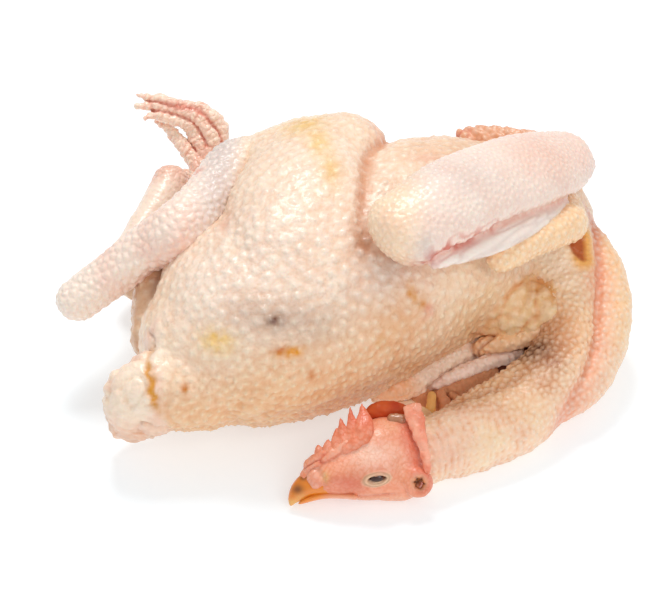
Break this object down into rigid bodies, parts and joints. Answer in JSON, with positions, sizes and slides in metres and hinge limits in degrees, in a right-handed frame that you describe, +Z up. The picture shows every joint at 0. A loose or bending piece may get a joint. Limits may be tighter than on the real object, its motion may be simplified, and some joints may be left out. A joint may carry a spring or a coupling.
{
  "type": "whole raw chicken",
  "caption": "Whole raw plucked chicken with head and feet on, lying on its right side with its neck bent back beside it.",
  "frame": {"origin": "middle of the bounding box's base, on the surface the bird lies on", "axes": "+X from the tail towards the neck bend and breast front, +Y from the back towards the breast and legs, +Z up out of the bird's left side"},
  "size_m": [0.2767, 0.237, 0.1249],
  "materials": {
    "skin": "moist raw skin with goose bumps, cream to pink",
    "comb": "soft matt red comb and face",
    "foot_skin": "pink scaly foot skin",
    "beak": "smooth yellow-brown horn",
    "eye": "wet dark eye"
  },
  "bodies": {
    "root": {"chicken": "skin"}
  },
  "joints": []
}
